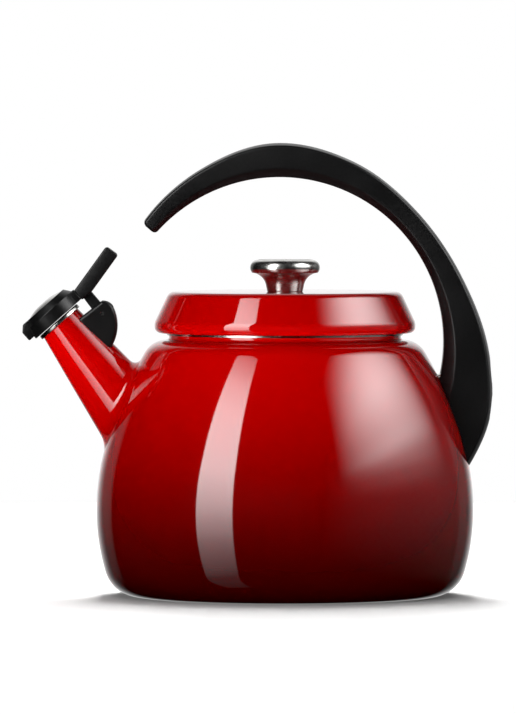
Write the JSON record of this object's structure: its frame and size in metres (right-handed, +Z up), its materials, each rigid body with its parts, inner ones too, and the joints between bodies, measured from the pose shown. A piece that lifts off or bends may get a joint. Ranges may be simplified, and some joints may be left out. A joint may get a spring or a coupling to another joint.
{
  "type": "stovetop whistling kettle",
  "caption": "Enamelled steel whistling kettle with a lift-off lid, a one-sided crescent handle and a sprung whistle cap on its spout.",
  "frame": {"origin": "centre of the base on the surface that the kettle stands on", "axes": "+Z up, -X towards the spout, +X towards the foot of the handle, symmetric about the XZ plane"},
  "size_m": [0.2492, 0.2, 0.2402],
  "materials": {
    "enamel": "gloss",
    "polished_steel": "polished",
    "brushed_steel": "brushed",
    "zinc_steel": "plated",
    "phenolic": "fine matte"
  },
  "bodies": {
    "kettle": {"vessel_shell": "enamel", "vessel_base": "enamel", "spout": "enamel", "spout_rim": "polished_steel", "mouth_ring": "polished_steel", "spout_lug": "brushed_steel", "hinge_cover": "phenolic", "hinge_pin": "polished_steel", "torsion_spring": "zinc_steel", "handle_bracket": "brushed_steel", "bracket_nuts": "zinc_steel", "handle_washers": "zinc_steel", "handle_screws": "zinc_steel", "handle_grip": "phenolic"},
    "lid": {"lid_cover": "enamel", "lid_collar": "brushed_steel", "knob": "polished_steel", "knob_washer": "zinc_steel", "knob_screw": "zinc_steel"},
    "whistle": {"cap_ring": "phenolic", "thumb_lever": "phenolic", "lever_screw": "zinc_steel", "whistle_cup": "brushed_steel", "whistle_disc": "brushed_steel", "whistle_dome": "polished_steel"}
  },
  "joints": [
    {"name": "lid_lift", "type": "slide", "parent": "kettle", "child": "lid", "axis": [0, 0, 1], "range_m": [0, 0.028]},
    {"name": "whistle_hinge", "type": "hinge", "parent": "kettle", "child": "whistle", "pos_m": [-0.09665, 0, 0.15001], "axis": [0, 1, 0], "range_deg": [0, 42], "stiffness_Nm_per_rad": 0.02, "springref_deg": -45.84, "deforming": ["torsion_spring"]}
  ]
}
